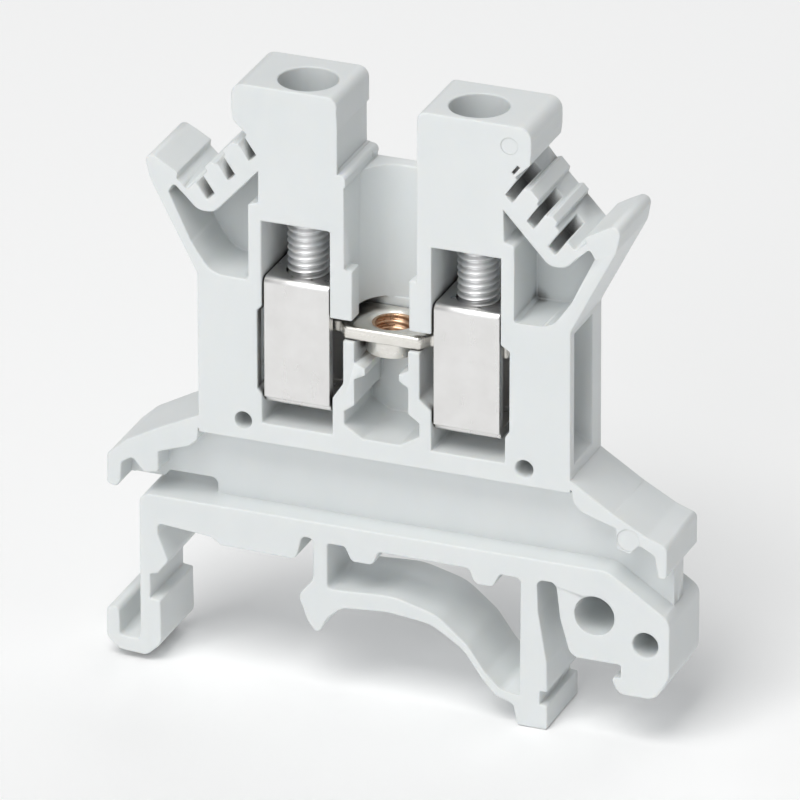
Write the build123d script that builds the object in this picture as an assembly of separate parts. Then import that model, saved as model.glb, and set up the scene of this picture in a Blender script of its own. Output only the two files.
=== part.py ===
from build123d import *
import math
import os

# Feed-through screw terminal block for a 35 x 7.5 mm top-hat rail.
# x runs along the block from the middle of the rail, y through its thickness
# from the open face at y = 0 to the back wall, z up from the seat plane, which
# is the upper side of the rail's two flanges.

# ---- driving dimensions, mm ----
THICK = 6.2            # width of one block on the rail
TOP_Z = 39.5           # seat plane to tower tops: 47 mm over a 7.5 mm deep rail
FOOT_DROP = 6.0        # seat plane to the underside of the thick leg
BACK_WALL = 1.0        # wall behind the chambers
SHALLOW = 4.4          # depth of the wing pockets and funnels
SLOT_Y = 3.4           # depth of the marker slots from the front
WEB_Y0, WEB_Y1 = 2.0, 3.8    # the thin web between body and foot
AXIS_X = -0.25         # the upper body is symmetric about this x
METAL_Y = 2.55         # middle plane of the metal parts
TOWER_X = 6.3          # screw axis from AXIS_X
DRIVER_R = 2.1         # screwdriver hole
NECK_R = 1.65          # neck that keeps the screw in
PIN_R = 0.65           # moulding pin holes in the front face
RAIL_W = 35.0
RAIL_T = 1.0

SCREW_R = 1.5          # M3, major radius
SLEEVE_HOLE_R = 1.55   # threaded hole of the sleeve, crest side
HEAD_R = 1.95
HEAD_H = 2.1
SLOT_W = 0.7
SLOT_D = 1.0

SLEEVE_W = 4.9         # across the block
SLEEVE_D = 4.8         # through the thickness
SLEEVE_H = 9.65
SLEEVE_T = 0.75        # sheet
SLEEVE_TOP_T = 1.75    # folded double layer that holds the thread
BAR_T = 0.95
BAR_W_END = 2.9        # inside the sleeves
BAR_HALF = 9.0         # half its length
BAR_W_MID = 4.6
JUMPER_R = 1.27        # threaded hole for the bridge screw
COLLAR_R = 1.95
COLLAR_DROP = 1.2

# heights are laid out in h, measured up from the underside of the rail, and
# turned into z so that the tower tops and the leg land on the sizes above
H_SEAT, H_TOP, H_LEG = 8.05, 46.9, 1.6
UP = TOP_Z / (H_TOP - H_SEAT)
DOWN = FOOT_DROP / (H_SEAT - H_LEG)


def zh(h):
    return (h - H_SEAT) * (UP if h > H_SEAT else DOWN)


def face_at(pts, y, mirror=False, shift=0.0):
    """Closed outline of (x, h) or (x, h, radius) corners in the plane y."""
    out = []
    for p in pts:
        x = -p[0] if mirror else p[0]
        out.append((x + shift, zh(p[1]), p[2] if len(p) > 2 else 0.0))
    n = len(out)
    edges = []
    start = end_prev = None
    first = None
    for i in range(n):
        ax, az, _ = out[i - 1]
        bx, bz, r = out[i]
        cx, cz, _ = out[(i + 1) % n]
        if r > 0:
            ux, uz = ax - bx, az - bz
            vx, vz = cx - bx, cz - bz
            lu, lv = math.hypot(ux, uz), math.hypot(vx, vz)
            ux, uz, vx, vz = ux / lu, uz / lu, vx / lv, vz / lv
            half = math.acos(max(-1, min(1, ux * vx + uz * vz))) / 2
            t = r / math.tan(half)
            lim = 0.49 * min(lu, lv)
            if t > lim:
                t = lim
                r = t * math.tan(half)
            p1 = (bx + ux * t, bz + uz * t)
            p2 = (bx + vx * t, bz + vz * t)
            mx, mz = ux + vx, uz + vz
            lm = math.hypot(mx, mz)
            mx, mz = mx / lm, mz / lm
            dc = r / math.sin(half)
            pm = (bx + mx * (dc - r), bz + mz * (dc - r))
        else:
            p1 = p2 = (bx, bz)
            pm = None
        if end_prev is not None and math.dist(end_prev, p1) > 1e-6:
            edges.append(Edge.make_line((end_prev[0], y, end_prev[1]), (p1[0], y, p1[1])))
        if pm:
            edges.append(Edge.make_three_point_arc((p1[0], y, p1[1]), (pm[0], y, pm[1]), (p2[0], y, p2[1])))
        if first is None:
            first = p1
        end_prev = p2
    if math.dist(end_prev, first) > 1e-6:
        edges.append(Edge.make_line((end_prev[0], y, end_prev[1]), (first[0], y, first[1])))
    return Face(Wire(edges))


def prism(pts, y0, y1, mirror=False, shift=0.0):
    return Solid.extrude(face_at(pts, y0, mirror, shift), Vector(0, y1 - y0, 0))


def both(pts, y0, y1):
    """The same prism on both halves of the upper body."""
    return [prism(pts, y0, y1, False, AXIS_X), prism(pts, y0, y1, True, AXIS_X)]


def box(x0, x1, y0, y1, z0, z1):
    return Pos((x0 + x1) / 2, (y0 + y1) / 2, (z0 + z1) / 2) * Box(x1 - x0, y1 - y0, z1 - z0)


def cyl_z(x, y, z0, z1, r):
    return Pos(x, y, (z0 + z1) / 2) * Cylinder(r, z1 - z0)


def cyl_y(x, z, y0, y1, r):
    return Pos(x, (y0 + y1) / 2, z) * Rot(90, 0, 0) * Cylinder(r, y1 - y0)


# ---- marker groove, laid out along its sloping floor ----
GX, GH = 11.85, 41.1                      # middle slot, at floor level
DX, DH = 0.685, -0.729                    # down the slope
NX, NH = 0.729, 0.685                     # out of the floor
SLOT_S = (-2.28, 0.02, 2.32)              # the three slots
SLOT_HALF = 0.38
SLOT_RUN = (-0.862, -1.227)               # from its mouth to its floor, steeper than the groove's normal


def g(s, n, r=0.0):
    return (GX + s * DX + n * NX, GH + s * DH + n * NH, r)


# floor of the groove from its lower end to its upper end, with two low rails
groove_floor = [
    g(3.65, 1.05, 0.15), g(3.65, 0.0, 0.2),
    g(1.45, 0.0), g(1.35, 0.32, 0.1), g(0.75, 0.32, 0.1), g(0.6, 0.0),
    g(-0.5, 0.0), g(-0.65, 0.32, 0.1), g(-1.6, 0.32, 0.1), g(-1.75, 0.0),
    g(-2.87, 0.0, 0.1),
]

# ---- outline of the upper body, right half going up, then across, then down ----
right_side = [
    (14.05, 20.4), (14.0, 32.4, 0.6), (17.35, 38.9, 1.6), (17.75, 41.1, 0.6),
    (15.05, 39.6, 0.12),
] + groove_floor + [g(-2.87, 1.47, 0.3), (11.05, 45.0, 0.8), (11.05, 46.9, 1.0)]
left_side = [(-p[0], p[1]) + tuple(p[2:]) for p in reversed(right_side)]
# the outer wall of the left half stands a little further in
left_side[-4:] = [(-17.7, 41.1, 0.6), (-17.15, 38.9, 1.6), (-13.64, 32.3, 0.6), (-13.64, 20.4)]
upper_outline = right_side + [
    (2.7, 46.9, 0.6), (2.7, 40.4, 0.15),
    (-2.6, 40.4, 0.1), (-2.6, 41.2, 0.32), (-3.2, 41.3), (-3.2, 46.9, 0.8),
] + left_side

upper = prism(upper_outline, 0, THICK, False, AXIS_X)

# ---- side flanges over the rail, sloping down to a hooked tip ----
flange_right = [
    (13.0, 21.75), (13.8, 21.35, 0.3), (17.0, 19.35, 2.0), (19.4, 18.05, 2.0), (20.95, 17.5, 0.5),
    (20.95, 15.1, 0.35), (20.25, 15.1, 0.3), (20.1, 16.75, 0.4), (18.9, 17.35, 0.3), (18.2, 16.6, 0.3),
    (17.2, 16.8, 0.3), (17.2, 18.35, 0.15), (14.6, 19.15, 0.4), (14.0, 19.7, 0.3), (13.9, 20.6), (13.0, 20.6),
]
flange_left = [
    (-13.0, 20.6), (-13.9, 20.6), (-14.0, 19.7, 0.3), (-14.6, 19.15, 0.4), (-16.95, 18.35, 0.15), (-16.95, 16.8, 0.3),
    (-18.1, 16.6, 0.3), (-18.93, 17.6, 0.3), (-19.75, 17.1, 0.35), (-19.85, 15.6, 0.2), (-20.15, 15.15, 0.3),
    (-20.87, 15.3, 0.35), (-20.87, 17.55, 0.6), (-19.45, 18.85, 2.0), (-16.8, 20.27, 2.0), (-14.0, 21.6, 0.3), (-13.0, 22.05),
]

# ---- thin web between the body, the flanges and the foot ----
web = [
    (-13.5, 20.7), (-20.0, 17.4), (-20.2, 15.6, 0.3), (-17.3, 15.6, 0.2), (-16.9, 16.1), (-13.3, 16.1, 0.5),
    (-13.3, 14.0), (20.8, 12.0), (20.8, 16.9, 0.2), (13.5, 20.7),
]
WEB_SLOT = [(-19.5, 15.0), (-19.5, 15.62), (-17.3, 15.62, 0.2), (-16.9, 16.1), (-13.3, 16.1, 0.5), (-13.3, 15.0)]

# ---- foot: one closed line round hook, leg, cavity, spike, arm, leg, slot and claw ----
foot = [
    # top edge, left to right
    (-18.45, 15.0, 0.8), (16.6, 15.0, 1.8), (21.2, 12.0, 1.1), (21.2, 7.6, 1.4),
    # lobe and claw
    (20.2, 5.65, 1.2), (17.4, 5.65, 0.9), (16.9, 6.9, 0.2), (17.6, 7.0, 0.1),
    # slot that takes the right flange of the rail, then the slot beside the thick leg
    (17.6, 8.07, 0.15), (13.9, 8.07, 0.9), (13.1, 10.8, 1.5), (12.8, 13.5, 0.5), (11.35, 13.5, 0.5),
    # right side of the thick leg with its notch
    (11.5, 11.0, 2.0), (12.15, 7.2, 1.5), (12.2, 4.75), (11.65, 4.75, 0.08), (11.65, 3.65, 0.08), (12.2, 3.6),
    (12.2, 1.6, 0.2), (9.95, 1.6, 0.35), (9.65, 3.3, 0.4),
    # underside of the spring arm
    (8.35, 3.75, 0.8), (7.35, 4.9, 1.2), (5.9, 7.1, 2.5), (3.5, 8.7, 3.5), (0.2, 9.05, 5.0), (-3.3, 8.75, 1.5),
    # spike
    (-4.3, 7.7, 0.5), (-5.0, 6.25, 0.35), (-5.75, 7.3, 0.6), (-6.45, 9.2, 0.6), (-5.35, 10.6, 0.5),
    (-5.3, 13.7, 0.4), (-6.15, 13.7, 0.35), (-6.6, 11.9, 0.6),
    # roof of the open cavity
    (-12.3, 12.0, 0.5), (-13.0, 12.5, 0.5), (-17.05, 12.85, 0.3),
    # nose over the left flange of the rail and the leg below it
    (-17.05, 12.0, 0.5), (-16.25, 10.1, 0.45), (-17.1, 9.0, 0.2), (-17.65, 8.9, 0.15), (-17.65, 6.95, 0.1),
    (-16.9, 6.85, 0.15), (-16.85, 3.2, 0.9), (-18.0, 2.05, 0.8),
    # J-hook
    (-20.0, 2.2, 0.9), (-21.05, 3.1, 0.8), (-21.0, 5.75, 0.45), (-20.05, 5.75, 0.45), (-20.0, 3.4, 0.25),
    (-18.5, 3.35, 0.2), (-18.45, 5.0),
]
cavity = [
    (-4.25, 13.5, 0.2), (-2.95, 13.5, 0.3), (-2.45, 12.45, 0.5), (-0.85, 12.45, 0.5), (-0.4, 13.5, 0.3),
    (6.3, 13.45, 0.4), (6.75, 12.35, 0.6), (8.15, 12.35, 0.5), (8.6, 13.45, 0.4), (10.2, 13.4, 0.4),
    (10.15, 4.1, 0.15), (8.75, 4.35, 0.9), (7.6, 5.5, 1.5), (6.2, 7.6, 2.5), (3.9, 9.5, 3.5), (0.6, 10.35, 5.0),
    (-4.25, 10.05, 0.4),
]

# ---- pocket under each marker groove ----
pocket = [
    (9.1, 40.5), (9.1, 38.25, 0.2), (9.85, 38.1, 0.3), (9.85, 32.45, 0.25), (12.6, 32.5, 1.8), (14.05, 34.6, 2.0),
    (15.75, 38.1, 0.25), (15.35, 38.75, 0.2), (14.5, 37.95, 0.5), (13.55, 37.0, 1.2), (12.35, 37.05, 1.0),
]

# ---- clamp chambers, with the wider space for the wire, from the axis outwards ----
chamber_left = [
    (3.75, 37.0), (8.85, 37.0), (8.85, 30.6), (9.2, 30.25), (9.2, 24.4), (8.85, 24.0), (8.85, 21.85), (3.6, 21.85),
    (3.6, 24.6), (2.8, 25.8), (2.8, 29.75), (3.75, 30.65),
]
chamber_right = [
    (3.75, 37.0), (8.85, 37.0), (8.85, 30.6), (9.5, 30.2), (9.5, 24.2), (9.2, 23.8), (9.2, 21.85), (3.75, 21.85),
    (3.75, 24.8), (2.88, 25.55), (2.88, 29.75), (3.75, 30.65),
]

# ---- space under the middle of the bar ----
centre_recess = [
    (-1.95, 29.6), (2.05, 29.6), (2.05, 27.55, 0.1), (1.35, 27.2, 0.1), (1.35, 26.7, 0.1), (2.05, 26.3, 0.1),
    (2.05, 24.3), (2.85, 23.75), (2.85, 22.75), (1.45, 21.9), (-1.3, 21.9), (-2.7, 22.75), (-2.7, 23.75),
    (-1.95, 24.3), (-1.95, 26.3, 0.1), (-1.15, 26.7, 0.1), (-1.15, 27.2, 0.1), (-1.95, 27.55, 0.1),
]

DEEP = THICK - BACK_WALL
housing = upper
housing = housing + prism(flange_right, 0, THICK) + prism(flange_left, 0, THICK)
housing = housing + prism(web, WEB_Y0, WEB_Y1) + prism(foot, 0, THICK)
housing = housing - prism(cavity, -1, THICK + 1)
housing = housing - prism(WEB_SLOT, -1, THICK + 1)
housing = housing - both(pocket, -1, SHALLOW)
housing = housing - prism(chamber_right, -1, DEEP, False, AXIS_X) - prism(chamber_left, -1, DEEP, True, AXIS_X)
housing = housing - prism(centre_recess, -1, DEEP, False, AXIS_X)

# marker slots, open to the front
for s in SLOT_S:
    a, b = g(s - SLOT_HALF, 0.0), g(s + SLOT_HALF, 0.0)
    slot = [g(s - SLOT_HALF, 0.8), g(s + SLOT_HALF, 0.8), b[:2],
            (b[0] + SLOT_RUN[0], b[1] + SLOT_RUN[1], 0.1), (a[0] + SLOT_RUN[0], a[1] + SLOT_RUN[1], 0.1), a[:2]]
    housing = housing - both(slot, -1, SLOT_Y)

# small nick over the first slot of the right groove
housing = housing - prism([(9.60, 43.48), (9.77, 43.34), (10.24, 43.93), (10.07, 44.07)], -1, 0.45, False, AXIS_X)

# shallow panel in the left tower's inner wall, behind a narrow front rim, open at the back
housing = housing - prism([(-3.42, 44.4), (-3.0, 44.4), (-3.0, 41.3), (-3.42, 41.36)], 0.3, THICK + 1, False, AXIS_X)

# round ejector marks in the front face
for x, h, r in ((9.2, 45.4, 0.62), (18.09, 17.6, 0.82)):
    housing = housing - cyl_y(x, zh(h), -1, 0.05, r)

# shaft for the bridge screw: straight sides, round back, open to the front
BAR_TOP = zh(30.02)
BAR_BOT = BAR_TOP - BAR_T
SHAFT_R = 2.7
z_lo, z_hi = BAR_TOP + 0.55, zh(40.4) + 0.02
shaft = box(AXIS_X - SHAFT_R, AXIS_X + SHAFT_R, -1, DEEP - SHAFT_R, z_lo, z_hi) + cyl_z(AXIS_X, DEEP - SHAFT_R, z_lo, z_hi, SHAFT_R)
housing = housing - shaft
# guides that hold the bar down, left and right of the shaft
for sx in (-1, 1):
    xa, xb = sorted((AXIS_X + sx * 2.1, AXIS_X + sx * 2.9))
    housing = housing + box(xa, xb, 0, 1.4, z_lo, zh(34.3))
# slot for the bar through both inner walls
housing = housing - box(AXIS_X - 3.9, AXIS_X + 3.9, -1, METAL_Y + BAR_W_MID / 2 + 0.1, BAR_BOT - 0.03, BAR_TOP + 0.57)

# thicker end of the bead along the left tower
BEAD_Z = zh(40.85)
housing = housing + cyl_y(AXIS_X - 2.95, BEAD_Z, DEEP, THICK, 0.42)

# screwdriver holes and necks
for sx in (-1, 1):
    xs = AXIS_X + sx * TOWER_X
    housing = housing - cyl_z(xs, METAL_Y, zh(38.7), zh(48.0), DRIVER_R)
    housing = housing - cyl_z(xs, METAL_Y, zh(36.0), zh(39.0), NECK_R)

# pin holes in the front face and in the foot
for x, h, r, d in ((-10.5, 21.85, PIN_R, 3.2), (10.4, 21.65, PIN_R, 3.2), (15.65, 11.5, 1.48, 4.6), (19.42, 9.9, 0.93, 4.6)):
    housing = housing - cyl_y(x, zh(h), -1, d, r)

# wire funnels from the outer faces into the chambers
FUN_Y0, FUN_Y1 = 0.85, 4.3
for sx in (-1, 1):
    def fx(u):
        return AXIS_X + sx * u

    def section(u, y0, y1, h0, h1):
        pts = [(fx(u), y0, zh(h0)), (fx(u), y1, zh(h0)), (fx(u), y1, zh(h1)), (fx(u), y0, zh(h1))]
        return Face(Wire.make_polygon([Vector(*p) for p in pts], close=True))

    outer = Solid.make_loft([section(14.6, FUN_Y0 - 0.05, FUN_Y1 + 0.1, 21.9, 32.6).outer_wire(),
                             section(9.9, FUN_Y0 + 0.1, FUN_Y1 - 0.1, 24.6, 29.9).outer_wire()], True)
    inner = box(min(fx(9.95), fx(8.6)), max(fx(9.95), fx(8.6)), FUN_Y0 + 0.1, FUN_Y1 - 0.1, zh(24.6), zh(29.9))
    # the funnel stays under the wing and over the flange
    keep = prism([(9.0, 22.35), (13.2, 22.35), (15.5, 21.0), (15.5, 32.0), (13.9, 32.0), (12.5, 31.2), (9.0, 31.2)], 0, THICK, sx < 0, AXIS_X)
    housing = housing - (outer & keep) - inner

# ---- current bar with its extruded, threaded hole ----
bar = box(AXIS_X - BAR_HALF, AXIS_X + BAR_HALF, METAL_Y - BAR_W_END / 2, METAL_Y + BAR_W_END / 2, BAR_BOT, BAR_TOP)
mid_pts = [(-3.35, METAL_Y - BAR_W_END / 2), (-2.75, METAL_Y - BAR_W_MID / 2), (2.75, METAL_Y - BAR_W_MID / 2), (3.35, METAL_Y - BAR_W_END / 2),
           (3.35, METAL_Y + BAR_W_END / 2), (2.75, METAL_Y + BAR_W_MID / 2), (-2.75, METAL_Y + BAR_W_MID / 2), (-3.35, METAL_Y + BAR_W_END / 2)]
mid_face = Face(Wire.make_polygon([Vector(AXIS_X + x, y, BAR_BOT) for x, y in mid_pts], close=True))
bar = bar + Solid.extrude(mid_face, Vector(0, 0, BAR_T))
bar = bar + cyl_z(AXIS_X, METAL_Y, BAR_BOT - COLLAR_DROP, BAR_BOT + 0.1, COLLAR_R)
bar = bar - cyl_z(AXIS_X, METAL_Y, BAR_BOT - COLLAR_DROP - 1, BAR_TOP + 1, JUMPER_R)


# ---- clamp sleeves ----
SLEEVE_TOP = zh(32.78)
SLEEVE_BOT = SLEEVE_TOP - SLEEVE_H


def sleeve(sx):
    x = AXIS_X + sx * TOWER_X
    y0, y1 = METAL_Y - SLEEVE_D / 2, METAL_Y + SLEEVE_D / 2
    body = box(x - SLEEVE_W / 2, x + SLEEVE_W / 2, y0, y1, SLEEVE_BOT, SLEEVE_TOP)
    body = fillet([e for e in body.edges().filter_by(Axis.X) if e.center().Y > y0 + 1 or e.center().Z > SLEEVE_TOP - 1], 0.45)
    inside = box(x - 4, x + 4, y0 + SLEEVE_T, y1 - SLEEVE_T, SLEEVE_BOT + SLEEVE_T, SLEEVE_TOP - SLEEVE_TOP_T)
    body = body - inside
    # the front sheet ends over the bottom bend, which is drawn in
    body = body - box(x - 4, x + 4, y0 - 1, y0 + 0.3, SLEEVE_BOT - 1, SLEEVE_BOT + 0.5)
    low = [e for e in body.edges().filter_by(Axis.X) if abs(e.center().Y - y0 - 0.3) < 0.02 and e.center().Z < SLEEVE_BOT + 0.1]
    body = fillet(low, 0.36)
    lip = [e for e in body.edges().filter_by(Axis.X) if abs(e.center().Y - y0) < 0.02 and e.center().Z < SLEEVE_BOT + 1]
    body = fillet(lip, 0.12)
    body = body - cyl_z(x, METAL_Y, SLEEVE_TOP - 3, SLEEVE_TOP + 1, SLEEVE_HOLE_R)
    return body


# ---- clamping screws: tip on the bar, head over the neck ----
HEAD_Z = zh(38.7) + 0.05


def screw(sx):
    x = AXIS_X + sx * TOWER_X
    tip = BAR_TOP + 0.02
    s = cyl_z(x, METAL_Y, tip + 0.4, HEAD_Z + 0.2, SCREW_R)
    s = s + Pos(x, METAL_Y, tip + 0.2) * Cone(1.1, SCREW_R, 0.4)
    head = cyl_z(x, METAL_Y, HEAD_Z, HEAD_Z + HEAD_H, HEAD_R)
    head = chamfer(head.edges().sort_by(Axis.Z)[-1], 0.25)
    s = s + head
    s = s - box(x - 3, x + 3, METAL_Y - SLOT_W / 2, METAL_Y + SLOT_W / 2, HEAD_Z + HEAD_H - SLOT_D, HEAD_Z + HEAD_H + 1)
    return s


def one(shape, label):
    solids = shape.solids()
    big = max(solids, key=lambda q: q.volume)
    if len(solids) > 1:
        print(label, "has", len(solids), "solids, volumes", [round(q.volume, 3) for q in solids])
    big.label = label
    return big


os.makedirs("parts", exist_ok=True)
nodes = {
    "housing": housing,
    "current_bar": bar,
    "clamp_sleeve_left": sleeve(-1),
    "clamp_sleeve_right": sleeve(1),
    "clamp_screw_left": screw(-1),
    "clamp_screw_right": screw(1),
}
for name, shape in nodes.items():
    export_step(one(shape, name), f"parts/{name}.step")
print("bar top z", round(BAR_TOP, 3), "sleeve", round(SLEEVE_BOT, 3), round(SLEEVE_TOP, 3), "chamber roof", round(zh(37.0), 3), "head z", round(HEAD_Z, 3))
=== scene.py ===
import math
import bpy
import bmesh
import numpy as np
from mathutils import Vector, Matrix


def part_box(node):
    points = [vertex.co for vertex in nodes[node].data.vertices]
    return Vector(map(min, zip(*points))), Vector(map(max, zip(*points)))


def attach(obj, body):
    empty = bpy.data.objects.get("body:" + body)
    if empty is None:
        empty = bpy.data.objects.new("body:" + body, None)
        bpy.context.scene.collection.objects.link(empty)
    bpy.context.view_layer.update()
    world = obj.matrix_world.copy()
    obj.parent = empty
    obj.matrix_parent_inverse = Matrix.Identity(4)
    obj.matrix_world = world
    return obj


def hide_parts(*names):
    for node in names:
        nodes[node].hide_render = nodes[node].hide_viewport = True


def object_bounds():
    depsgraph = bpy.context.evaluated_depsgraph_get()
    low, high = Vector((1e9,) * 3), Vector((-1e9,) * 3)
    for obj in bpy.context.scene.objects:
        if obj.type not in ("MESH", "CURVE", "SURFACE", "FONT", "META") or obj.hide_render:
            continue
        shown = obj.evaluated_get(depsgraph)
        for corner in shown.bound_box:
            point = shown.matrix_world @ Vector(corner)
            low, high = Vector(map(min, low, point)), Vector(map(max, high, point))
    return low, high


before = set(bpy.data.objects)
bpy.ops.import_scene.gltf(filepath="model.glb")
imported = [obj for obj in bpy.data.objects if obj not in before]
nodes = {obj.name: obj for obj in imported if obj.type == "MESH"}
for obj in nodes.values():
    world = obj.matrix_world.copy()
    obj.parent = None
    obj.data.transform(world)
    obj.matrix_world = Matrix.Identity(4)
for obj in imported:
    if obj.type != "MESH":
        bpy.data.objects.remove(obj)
cad_lo, cad_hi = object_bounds()

MM = 0.001
AXIS_X = -0.25          # mm, middle of the upper body
METAL_Y = 2.55          # mm, middle plane of the metal parts
TOWER_X = 6.3           # mm, screw axis from AXIS_X


# ---------------------------------------------------------------- small helpers
def new_object(name, verts, faces, smooth=None):
    """A mesh object from points in mm. smooth: angle in degrees under which edges are shaded smooth."""
    me = bpy.data.meshes.new(name)
    me.from_pydata([(x * MM, y * MM, z * MM) for x, y, z in verts], [], faces)
    me.validate(clean_customdata=False)
    me.update()
    ob = bpy.data.objects.new(name, me)
    bpy.context.scene.collection.objects.link(ob)
    if smooth is not None:
        shade(ob, smooth)
    return ob


def shade(ob, angle):
    me = ob.data
    me.polygons.foreach_set("use_smooth", [True] * len(me.polygons))
    bm = bmesh.new()
    bm.from_mesh(me)
    lim = math.radians(angle)
    for e in bm.edges:
        e.smooth = len(e.link_faces) == 2 and e.calc_face_angle(0.0) < lim
    bm.to_mesh(me)
    bm.free()


def apply_modifiers(ob):
    """The object's mesh with its modifiers, baked in."""
    dg = bpy.context.evaluated_depsgraph_get()
    dg.update()
    me = bpy.data.meshes.new_from_object(ob.evaluated_get(dg))
    old = ob.data
    ob.modifiers.clear()
    ob.data = me
    me.name = ob.name
    bpy.data.meshes.remove(old)
    return ob


def boolean(ob, cutter, op="DIFFERENCE"):
    m = ob.modifiers.new("b", "BOOLEAN")
    m.operation = op
    m.solver = "EXACT"
    m.object = cutter
    apply_modifiers(ob)
    me = cutter.data
    bpy.data.objects.remove(cutter)
    bpy.data.meshes.remove(me)
    return ob


def bevel(ob, width_mm, segments=2, angle=35):
    m = ob.modifiers.new("edges", "BEVEL")
    m.width = width_mm * MM
    m.segments = segments
    m.limit_method = "ANGLE"
    m.angle_limit = math.radians(angle)
    m.use_clamp_overlap = True
    return apply_modifiers(ob)


def crossings(me):
    """Points where the outline of a face runs over itself."""
    co = np.empty(len(me.vertices) * 3)
    me.vertices.foreach_get("co", co)
    co = co.reshape(-1, 3)
    small = [(tuple(f.vertices), tuple(f.normal)) for f in me.polygons if len(f.vertices) == 4]
    out = []

    def side(p, q, r, n):
        return np.einsum("ij,ij->i", np.cross(q - p, r - p), n)

    if small:
        p = co[np.array([v for v, _ in small])]
        n = np.array([k for _, k in small])
        for i, j, k, l in ((0, 1, 2, 3), (1, 2, 3, 0)):
            a, b, c, d = p[:, i], p[:, j], p[:, k], p[:, l]
            hit = (side(a, b, c, n) * side(a, b, d, n) < -1e-24) & (side(c, d, a, n) * side(c, d, b, n) < -1e-24)
            out += list(((a + b + c + d) / 4)[hit])
    for f in me.polygons:
        m = len(f.vertices)
        if m < 5:
            continue
        p = co[list(f.vertices)]
        k = int(np.argmax(np.abs(np.array(f.normal))))
        a = np.delete(p, k, axis=1)
        b = np.roll(a, -1, axis=0)
        d = b - a

        def turn(v):
            w = v[None] - a[:, None]
            return d[:, None, 0] * w[..., 1] - d[:, None, 1] * w[..., 0]

        t1, t2 = turn(a), turn(b)
        across = ((t1 > 1e-12) & (t2 < -1e-12)) | ((t1 < -1e-12) & (t2 > 1e-12))
        hit = across & across.T
        for i in np.unique(np.nonzero(hit)[0]):
            out.append((p[i] + p[(i + 1) % m]) / 2)
    return np.array(out)


def rounded_copy(node, name, width_mm, angle=28):
    """A copy of a node's mesh with every sharp edge rounded, less where the faces beside it leave no room."""
    base = bmesh.new()
    base.from_mesh(nodes[node].data)
    bmesh.ops.remove_doubles(base, verts=base.verts, dist=2e-7)
    bmesh.ops.dissolve_limit(base, angle_limit=math.radians(0.3), verts=base.verts, edges=base.edges, delimit=set())
    layer = base.edges.layers.float.get("bevel_weight_edge") or base.edges.layers.float.new("bevel_weight_edge")
    lim = math.radians(angle)
    for f in base.faces:
        f.smooth = True
    for e in base.edges:
        e[layer] = 0.0
        e.smooth = len(e.link_faces) == 2
        if len(e.link_faces) == 2 and e.calc_face_angle(0.0) > lim:
            room = min(f.calc_area() for f in e.link_faces) / max(e.calc_length(), 1e-7)
            w = min(1.0, 0.42 * room / (width_mm * MM))
            e[layer] = w if w >= 0.2 else 0.0
            e.smooth = e[layer] > 0
    ob, before = None, []
    for turn in range(16):
        me = bpy.data.meshes.new(name)
        base.to_mesh(me)
        if ob is None:
            ob = bpy.data.objects.new(name, me)
            bpy.context.scene.collection.objects.link(ob)
        else:
            old = ob.data
            ob.data = me
            bpy.data.meshes.remove(old)
        m = ob.modifiers.new("edges", "BEVEL")
        m.limit_method = "WEIGHT"
        m.width = width_mm * MM
        m.segments = 2
        m.use_clamp_overlap = False
        m.loop_slide = True
        m = ob.modifiers.new("shading", "WEIGHTED_NORMAL")
        m.mode = "FACE_AREA"
        m.weight = 50
        m.keep_sharp = True
        apply_modifiers(ob)
        bad = crossings(ob.data)
        before.append(len(bad))
        if len(bad) == 0 or (len(bad) < 3 and before[-3:] == [len(bad)] * 3):
            break
        for e in base.edges:
            if e[layer] > 0:
                a, b = np.array(e.verts[0].co), np.array(e.verts[1].co)
                d = b - a
                t = np.clip(((bad - a) @ d) / max(float(d @ d), 1e-18), 0, 1)
                if np.linalg.norm(bad - (a + t[:, None] * d), axis=1).min() < (0.25 + 0.03 * turn) * MM:
                    w = e[layer] * 0.6
                    e[layer] = w if w > 0.12 else 0.0
                    e.smooth = e[layer] > 0
    base.free()
    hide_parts(node)
    return ob


def revolve(profile, cx, cy, n=96):
    """Closed solid turned from (r, z) points, first and last on the axis."""
    verts, faces, rows = [], [], []
    for r, z in profile:
        if r < 1e-9:
            rows.append([len(verts)])
            verts.append((cx, cy, z))
        else:
            rows.append(list(range(len(verts), len(verts) + n)))
            for k in range(n):
                a = 2 * math.pi * k / n
                verts.append((cx + r * math.cos(a), cy + r * math.sin(a), z))
    for a, b in zip(rows, rows[1:]):
        for k in range(n):
            j = (k + 1) % n
            if len(a) == 1:
                faces.append((a[0], b[j], b[k]))
            elif len(b) == 1:
                faces.append((a[k], a[j], b[0]))
            else:
                faces.append((a[k], a[j], b[j], b[k]))
    return verts, faces


def cube(name, x0, x1, y0, y1, z0, z1):
    v = [(x, y, z) for x in (x0, x1) for y in (y0, y1) for z in (z0, z1)]
    f = [(0, 1, 3, 2), (4, 6, 7, 5), (0, 4, 5, 1), (2, 3, 7, 6), (0, 2, 6, 4), (1, 5, 7, 3)]
    return new_object(name, v, f)


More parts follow.
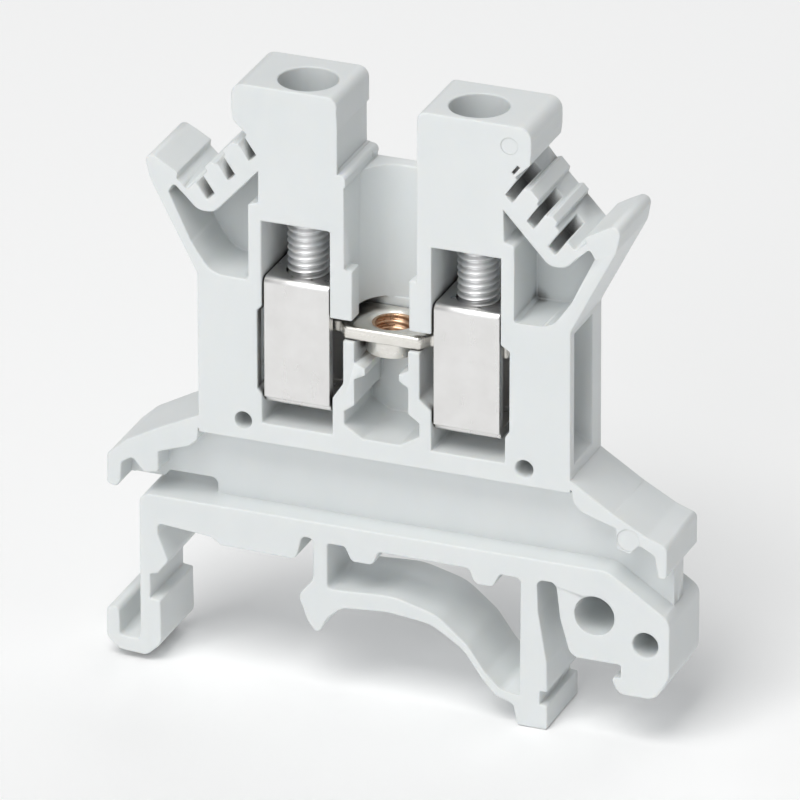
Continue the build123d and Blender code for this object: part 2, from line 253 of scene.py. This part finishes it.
# ---------------------------------------------------------------- materials
class Mat:
    """A thin wrapper that keeps node building short."""

    def __init__(self, name):
        self.m = bpy.data.materials.new(name)
        self.m.use_nodes = True
        self.t = self.m.node_tree
        self.t.nodes.clear()
        self.out = self.t.nodes.new("ShaderNodeOutputMaterial")
        self.bsdf = self.t.nodes.new("ShaderNodeBsdfPrincipled")
        self.t.links.new(self.bsdf.outputs[0], self.out.inputs[0])
        self.coord = self.t.nodes.new("ShaderNodeTexCoord").outputs["Object"]

    def node(self, kind, **props):
        n = self.t.nodes.new(kind)
        for k, v in props.items():
            setattr(n, k, v)
        return n

    def link(self, a, b):
        self.t.links.new(a, b)

    def noise(self, scale, detail=2.0, rough=0.5, stretch=None, distortion=0.0):
        n = self.node("ShaderNodeTexNoise")
        n.inputs["Scale"].default_value = scale
        n.inputs["Detail"].default_value = detail
        n.inputs["Roughness"].default_value = rough
        n.inputs["Distortion"].default_value = distortion
        if stretch:
            mp = self.node("ShaderNodeMapping")
            mp.inputs["Scale"].default_value = stretch
            self.link(self.coord, mp.inputs["Vector"])
            self.link(mp.outputs[0], n.inputs["Vector"])
        else:
            self.link(self.coord, n.inputs["Vector"])
        return n.outputs["Fac"]

    def ramp(self, fac, a, b, lo=0.0, hi=1.0):
        """Map fac from lo..hi to a..b, as numbers."""
        r = self.node("ShaderNodeMapRange")
        r.inputs["From Min"].default_value = lo
        r.inputs["From Max"].default_value = hi
        r.inputs["To Min"].default_value = a
        r.inputs["To Max"].default_value = b
        self.link(fac, r.inputs["Value"])
        return r.outputs[0]

    def mix(self, fac, a, b):
        n = self.node("ShaderNodeMix", data_type="RGBA")
        for sock, v in (("A", a), ("B", b)):
            s = [i for i in n.inputs if i.name == sock and i.type == "RGBA"][0]
            if isinstance(v, tuple):
                s.default_value = (*v, 1.0)
            else:
                self.link(v, s)
        f = [i for i in n.inputs if i.name == "Factor" and i.type == "VALUE"][0]
        if isinstance(fac, (int, float)):
            f.default_value = fac
        else:
            self.link(fac, f)
        return [o for o in n.outputs if o.type == "RGBA"][0]

    def math(self, op, a, b=None, clamp=False):
        n = self.node("ShaderNodeMath", operation=op, use_clamp=clamp)
        for i, v in enumerate((a, b)):
            if v is None:
                continue
            if isinstance(v, (int, float)):
                n.inputs[i].default_value = v
            else:
                self.link(v, n.inputs[i])
        return n.outputs[0]

    def rounded(self, radius_mm, samples=6):
        """Shading normal with the edges rounded off."""
        b = self.node("ShaderNodeBevel", samples=samples)
        b.inputs["Radius"].default_value = radius_mm * MM
        return b.outputs[0]

    def bump(self, height, dist_mm, strength=1.0, normal=None):
        b = self.node("ShaderNodeBump")
        b.inputs["Strength"].default_value = strength
        b.inputs["Distance"].default_value = dist_mm * MM
        self.link(height, b.inputs["Height"])
        if normal is not None:
            self.link(normal, b.inputs["Normal"])
        return b.outputs[0]

    def edges(self, rounded_normal):
        """0 on flat faces, towards 1 on edges, from the rounded and the true normal."""
        g = self.node("ShaderNodeNewGeometry")
        d = self.node("ShaderNodeVectorMath", operation="DOT_PRODUCT")
        self.link(rounded_normal, d.inputs[0])
        self.link(g.outputs["Normal"], d.inputs[1])
        return self.ramp(d.outputs["Value"], 1.0, 0.0, 0.80, 0.999)

    def occlusion(self, dist_mm, samples=6):
        a = self.node("ShaderNodeAmbientOcclusion", samples=samples)
        a.inputs["Distance"].default_value = dist_mm * MM
        return a.outputs["AO"]

    def place(self):
        """X and Z of the shaded point in the object's own frame, in metres."""
        x = self.node("ShaderNodeSeparateXYZ")
        self.link(self.coord, x.inputs[0])
        return x.outputs["X"], x.outputs["Z"]

    def set(self, **kw):
        for k, v in kw.items():
            s = self.bsdf.inputs[k.replace("_", " ")]
            if isinstance(v, bpy.types.NodeSocket):
                self.link(v, s)
            else:
                s.default_value = v


def polyamide():
    q = Mat("polyamide_light_grey")
    rn = q.rounded(0.11, 3)
    edge = q.edges(rn)
    cloud = q.noise(70.0, 3.0, 0.55)
    grain = q.noise(5200.0, 2.0, 0.6)
    flow = q.noise(240.0, 3.0, 0.6, stretch=(1.0, 1.0, 0.35), distortion=0.6)
    base = q.mix(q.ramp(cloud, 0.0, 1.0, 0.3, 0.7), (0.690, 0.722, 0.728), (0.735, 0.762, 0.765))
    base = q.mix(q.math("MULTIPLY", q.ramp(flow, 0.0, 1.0, 0.35, 0.75), 0.35), base, (0.77, 0.785, 0.78))
    # painted highlight: the rounded edges are lightened towards pale grey, as where light catches them
    base = q.mix(q.math("MULTIPLY", edge, 0.45), base, (0.86, 0.875, 0.87))
    # painted shade: recesses and inner corners within 1.4 mm are darkened towards warm grey by occlusion
    near = q.occlusion(1.4, 6)
    recess_shade = q.math("MULTIPLY", q.ramp(near, 1.0, 0.0, 0.10, 0.60), 0.15)
    base = q.mix(recess_shade, base, (0.53, 0.50, 0.45))
    # painted shade: the narrow gaps round the metal parts and the marker slots are painted near black, far darker than
    # the shallow holes under them, and darker still round the screws in the chambers
    x, z = q.place()
    gap = q.ramp(z, 0.40, 0.95, 0.0150, 0.0162)
    off = q.math("ABSOLUTE", q.math("SUBTRACT", q.math("ABSOLUTE", q.math("SUBTRACT", x, AXIS_X * MM)), TOWER_X * MM))
    chamber = q.math("MULTIPLY", q.ramp(off, 1.0, 0.0, 0.0042, 0.0047), q.ramp(z, 0.0, 1.0, 0.0150, 0.0162))
    chamber = q.math("MULTIPLY", chamber, q.ramp(z, 1.0, 0.0, 0.0252, 0.0262))
    ao = q.math("SUBTRACT", near, q.math("MULTIPLY", chamber, 0.22))
    crevice_shade = q.math("MULTIPLY", q.ramp(ao, 1.0, 0.0, 0.10, 0.42), gap)
    base = q.mix(crevice_shade, base, (0.045, 0.038, 0.032))
    rough = q.ramp(cloud, 0.40, 0.52, 0.3, 0.7)
    rough = q.math("ADD", rough, q.ramp(grain, -0.05, 0.05))
    n = q.bump(flow, 0.02, 0.5, rn)
    n = q.bump(grain, 0.006, 0.55, n)
    q.set(Base_Color=base, Roughness=rough, Normal=n)
    q.bsdf.inputs["IOR"].default_value = 1.53
    q.bsdf.inputs["Subsurface Weight"].default_value = 0.22
    q.bsdf.inputs["Subsurface Radius"].default_value = (1.0, 0.82, 0.62)
    q.bsdf.inputs["Subsurface Scale"].default_value = 0.0009
    return q.m


def plated_sheet():
    q = Mat("plated_sheet_steel")
    rn = q.rounded(0.10)
    edge = q.edges(rn)
    cloud = q.noise(420.0, 3.0, 0.6)
    streak = q.noise(900.0, 4.0, 0.65, stretch=(1.0, 1.0, 0.06))
    fine = q.noise(9000.0, 2.0, 0.6)
    base = q.mix(q.ramp(cloud, 0.0, 1.0, 0.3, 0.7), (0.735, 0.727, 0.717), (0.795, 0.789, 0.781))
    # painted highlight: the rounded edges of the sheet are lightened towards warm white
    base = q.mix(q.math("MULTIPLY", edge, 0.7), base, (0.96, 0.94, 0.90))
    rough = q.ramp(streak, 0.24, 0.40, 0.3, 0.7)
    rough = q.math("ADD", rough, q.ramp(cloud, -0.04, 0.05, 0.3, 0.7))
    # painted shade: crevices within 1.4 mm are darkened to near black by occlusion
    crevice_shade = q.math("MULTIPLY", q.ramp(q.occlusion(1.4, 8), 1.0, 0.0, 0.12, 0.46), 0.90)
    base = q.mix(crevice_shade, base, (0.10, 0.09, 0.08))
    n = q.bump(streak, 0.004, 0.5, rn)
    n = q.bump(fine, 0.002, 0.5, n)
    q.set(Base_Color=base, Roughness=rough, Normal=n, Metallic=1.0)
    return q.m


def zinc():
    q = Mat("zinc_plated_screw")
    rn = q.rounded(0.05)
    edge = q.edges(rn)
    cloud = q.noise(500.0, 2.0, 0.5)
    fine = q.noise(12000.0, 2.0, 0.6)
    base = q.mix(q.ramp(cloud, 0.0, 1.0, 0.3, 0.7), (0.90, 0.905, 0.91), (0.96, 0.962, 0.965))
    # painted highlight: the edges of thread and head are lightened slightly
    base = q.mix(q.math("MULTIPLY", edge, 0.5), base, (0.95, 0.95, 0.95))
    rough = q.ramp(cloud, 0.36, 0.46, 0.3, 0.7)
    # painted shade: thread troughs and other crevices within 1.2 mm are darkened by occlusion
    crevice_shade = q.math("MULTIPLY", q.ramp(q.occlusion(1.2, 8), 1.0, 0.0, 0.10, 0.70), 0.68)
    base = q.mix(crevice_shade, base, (0.16, 0.155, 0.15))
    n = q.bump(fine, 0.001, 0.4, rn)
    q.set(Base_Color=base, Roughness=rough, Normal=n, Metallic=1.0)
    return q.m


def plated_copper():
    q = Mat("tin_plated_copper")
    rn = q.rounded(0.10)
    edge = q.edges(rn)
    cloud = q.noise(520.0, 3.0, 0.6)
    streak = q.noise(1100.0, 4.0, 0.65, stretch=(0.08, 1.0, 1.0))
    base = q.mix(q.ramp(cloud, 0.0, 1.0, 0.3, 0.7), (0.74, 0.72, 0.67), (0.83, 0.81, 0.77))
    worn = q.math("MULTIPLY", edge, q.ramp(cloud, 0.15, 0.9, 0.35, 0.65))
    base = q.mix(worn, base, (0.88, 0.68, 0.42))
    rough = q.ramp(streak, 0.24, 0.40, 0.3, 0.7)
    n = q.bump(streak, 0.003, 0.5, rn)
    q.set(Base_Color=base, Roughness=rough, Normal=n, Metallic=1.0)
    return q.m


def bare_copper():
    q = Mat("cut_copper_thread")
    cloud = q.noise(900.0, 3.0, 0.6)
    base = q.mix(q.ramp(cloud, 0.0, 1.0, 0.3, 0.7), (0.56, 0.33, 0.20), (0.80, 0.56, 0.39))
    # painted shade: thread roots within 1.5 mm are darkened to dark brown by occlusion
    crevice_shade = q.math("MULTIPLY", q.ramp(q.occlusion(1.5, 8), 1.0, 0.0, 0.10, 0.60), 0.85)
    base = q.mix(crevice_shade, base, (0.10, 0.055, 0.035))
    rough = q.ramp(cloud, 0.20, 0.36, 0.3, 0.7)
    n = q.bump(q.noise(9000.0, 2.0, 0.6), 0.002, 0.5)
    q.set(Base_Color=base, Roughness=rough, Normal=n, Metallic=1.0)
    return q.m


M_POLY, M_SHEET, M_ZINC, M_BAR, M_COPPER = polyamide(), plated_sheet(), zinc(), plated_copper(), bare_copper()


def dress(ob, mat):
    if len(ob.data.materials) == 0:
        ob.data.materials.append(mat)
    for i in range(len(ob.data.materials)):
        ob.data.materials[i] = mat
    for s in ob.material_slots:
        s.material = mat


for node, mat, body, slot, width in (("housing", M_POLY, "housing", "polyamide", 0.12),
                                     ("clamp_sleeve_left", M_SHEET, "sleeve_left", "plated_steel", 0.08),
                                     ("clamp_sleeve_right", M_SHEET, "sleeve_right", "plated_steel", 0.08)):
    dress(nodes[node], mat)
    piece = rounded_copy(node, node + "_shape", width)
    dress(piece, mat)
    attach(piece, body)


# ---------------------------------------------------------------- clamping screws with their thread
PITCH = 0.5


def thread_radius(phase, crest, root):
    """60 degree thread: phase 0..1 along one pitch, crest flat in the middle."""
    d = abs((phase % 1.0) - 0.5)            # 0 at the crest, 0.5 at the root
    t = (d - 0.0625) / (0.5 - 0.0625 - 0.10)
    t = max(0.0, min(1.0, t))
    t = t * t * (3 - 2 * t) * 0.35 + t * 0.65
    return crest + (root - crest) * t


def screw(side, sx):
    cx = AXIS_X + sx * TOWER_X
    lo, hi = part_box("clamp_screw_" + side)
    tip, top = lo.z / MM, hi.z / MM
    head_h = 2.1
    seat = top - head_h
    n = 72
    run_out = seat - 0.55
    zs = []
    z = tip
    while z < run_out:
        zs.append(z)
        z += 0.038
    zs.append(run_out)
    verts, faces, rows = [(cx, METAL_Y, tip)], [], []
    for z in zs:
        row = []
        for k in range(n):
            a = 2 * math.pi * k / n
            r = thread_radius((z - tip) / PITCH - a / (2 * math.pi), 1.492, 1.20)
            r = min(r, 1.06 + (z - tip) * 1.05)
            f = max(0.0, min(1.0, (z - (run_out - 0.45)) / 0.45))
            r = r * (1 - f) + 1.40 * f
            row.append(len(verts))
            verts.append((cx + r * math.cos(a), METAL_Y + r * math.sin(a), z))
        rows.append(row)
    # plain neck, underside, rim and top of the head
    for r, z in ((1.40, seat - 0.12), (1.47, seat - 0.03), (1.56, seat), (1.82, seat), (1.90, seat + 0.03), (1.95, seat + 0.10),
                 (1.95, top - 0.30), (1.935, top - 0.22), (1.89, top - 0.14), (1.74, top - 0.02), (1.68, top)):
        row = []
        for k in range(n):
            a = 2 * math.pi * k / n
            row.append(len(verts))
            verts.append((cx + r * math.cos(a), METAL_Y + r * math.sin(a), z))
        rows.append(row)
    for k in range(n):
        faces.append((0, rows[0][(k + 1) % n], rows[0][k]))
    for a, b in zip(rows, rows[1:]):
        for k in range(n):
            j = (k + 1) % n
            faces.append((a[k], a[j], b[j], b[k]))
    faces.append(tuple(rows[-1]))
    ob = new_object("clamp_screw_thread_" + side, verts, faces)
    cut = cube("cut", cx - 3, cx + 3, METAL_Y - 0.35, METAL_Y + 0.35, top - 1.0, top + 1)
    boolean(ob, cut)
    shade(ob, 50)
    dress(ob, M_ZINC)
    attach(ob, "screw_" + side)
    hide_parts("clamp_screw_" + side)
    return ob


screw("left", -1)
screw("right", 1)


# ---------------------------------------------------------------- current bar with its threaded collar
def current_bar():
    lo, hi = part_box("current_bar")
    top, low = hi.z / MM, lo.z / MM
    bot = top - 0.95
    e = 9.0
    outline = [(-e, -1.45), (-3.35, -1.45), (-2.75, -2.3), (2.75, -2.3), (3.35, -1.45), (e, -1.45),
               (e, 1.45), (3.35, 1.45), (2.75, 2.3), (-2.75, 2.3), (-3.35, 1.45), (-e, 1.45)]
    n = len(outline)
    verts = [(AXIS_X + x, METAL_Y + y, bot) for x, y in outline] + [(AXIS_X + x, METAL_Y + y, top) for x, y in outline]
    faces = [tuple(reversed(range(n))), tuple(range(n, 2 * n))] + [(i, (i + 1) % n, n + (i + 1) % n, n + i) for i in range(n)]
    plate = new_object("current_bar_plate", verts, faces)
    bevel(plate, 0.16, 3)
    # drawn collar under the plate
    v, f = revolve([(0, low), (1.80, low), (1.90, low + 0.03), (1.95, low + 0.12), (1.95, bot - 0.22), (1.99, bot - 0.08), (2.1, bot + 0.02), (2.1, bot + 0.3), (0, bot + 0.3)], AXIS_X, METAL_Y)
    collar = new_object("collar", v, f)
    boolean(plate, collar, "UNION")
    v, f = revolve([(0, low - 1), (1.5, low - 1), (1.5, top - 0.20), (1.56, top - 0.13), (1.68, top - 0.05), (1.84, top), (1.9, top + 0.5), (0, top + 0.5)], AXIS_X, METAL_Y)
    hole = new_object("hole", v, f)
    boolean(plate, hole)
    shade(plate, 40)
    dress(plate, M_BAR)
    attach(plate, "housing")
    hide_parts("current_bar")

    # female thread, a closed ring that lines the hole
    n, step = 96, 0.03
    zs, z = [], low + 0.02
    while z < top - 0.16:
        zs.append(z)
        z += step
    verts, faces, rows = [], [], []
    for z in zs:
        row = []
        for k in range(n):
            a = 2 * math.pi * k / n
            r = thread_radius((z - low) / PITCH - a / (2 * math.pi), 1.275, 1.47)
            row.append(len(verts))
            verts.append((AXIS_X + r * math.cos(a), METAL_Y + r * math.sin(a), z))
        rows.append(row)
    for z in (zs[-1], zs[0]):
        row = []
        for k in range(n):
            a = 2 * math.pi * k / n
            row.append(len(verts))
            verts.append((AXIS_X + 1.505 * math.cos(a), METAL_Y + 1.505 * math.sin(a), z))
        rows.append(row)
    rows.append(rows[0])
    for a, b in zip(rows, rows[1:]):
        for k in range(n):
            j = (k + 1) % n
            faces.append((a[j], a[k], b[k], b[j]))
    thread = new_object("bridge_thread", verts, faces, 50)
    dress(thread, M_COPPER)
    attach(thread, "housing")


current_bar()


# ---------------------------------------------------------------- floor, light, camera
floor_z = cad_lo.z


def stage_floor():
    n, verts, faces = 96, [(0, 0, 0)], []
    rings = (0.2, 0.5, 1.0, 2.0, 4.0)
    for r in rings:
        for k in range(n):
            a = 2 * math.pi * k / n
            verts.append((r * math.cos(a), r * math.sin(a), 0))
    for k in range(n):
        faces.append((0, 1 + k, 1 + (k + 1) % n))
    for i in range(len(rings) - 1):
        for k in range(n):
            a, b = 1 + i * n + k, 1 + i * n + (k + 1) % n
            faces.append((a, a + n, b + n, b))
    me = bpy.data.meshes.new("floor")
    me.from_pydata(verts, [], faces)
    ob = bpy.data.objects.new("floor", me)
    ob.location = (0, 0, floor_z)
    bpy.context.scene.collection.objects.link(ob)
    q = Mat("pale_floor")
    soft = q.noise(3.0, 2.0, 0.5)
    q.set(Base_Color=q.mix(q.ramp(soft, 0.0, 1.0, 0.3, 0.7), (0.935, 0.94, 0.942), (0.95, 0.952, 0.955)), Roughness=0.7, Emission_Color=(1.0, 1.0, 1.0, 1.0), Emission_Strength=0.05)
    ob.data.materials.append(q.m)


stage_floor()


def area(name, loc, aim, size, watts, color=(1, 1, 1)):
    d = bpy.data.lights.new(name, "AREA")
    d.shape = "RECTANGLE"
    d.size, d.size_y = size
    d.energy = watts
    d.color = color
    ob = bpy.data.objects.new(name, d)
    ob.location = loc
    ob.rotation_mode = "QUATERNION"
    ob.rotation_quaternion = (Vector(aim) - Vector(loc)).to_track_quat("-Z", "Y")
    bpy.context.scene.collection.objects.link(ob)
    return ob


centre = (cad_lo + cad_hi) / 2
area("key", (-0.12, -0.62, 1.20), centre, (0.8, 0.8), 12.2, (1.0, 0.99, 0.975))
area("front", (-0.22, -1.20, 0.50), centre, (0.9, 0.7), 4.05, (0.985, 0.99, 1.0))
area("right", (1.15, -0.35, 0.55), centre, (0.6, 0.8), 0.5, (0.97, 0.985, 1.0))
area("back", (0.1, 0.95, 0.95), centre, (1.2, 0.6), 3.6)

world = bpy.data.worlds.new("studio")
world.use_nodes = True
bg = world.node_tree.nodes.get("Background") or world.node_tree.nodes.new("ShaderNodeBackground")
bg.inputs[0].default_value = (0.93, 0.95, 0.97, 1)
bg.inputs[1].default_value = 0.215
bpy.context.scene.world = world

cam_data = bpy.data.cameras.new("camera")
cam_data.sensor_width = 36.0
cam_data.lens = 515.0
cam_data.clip_start = 0.01
cam_data.clip_end = 50.0
cam = bpy.data.objects.new("camera", cam_data)
cam.location = (0.2622, -0.6680, 0.3518)
cam.rotation_mode = "QUATERNION"
aim = Vector((0.0, 0.0031, 0.0160))
cam.rotation_quaternion = (aim - Vector(cam.location)).to_track_quat("-Z", "Y")
bpy.context.scene.collection.objects.link(cam)
bpy.context.scene.camera = cam

vs = bpy.context.scene.view_settings
vs.view_transform = "Standard"
vs.look = "None"
vs.exposure = 0.0
vs.gamma = 1.0
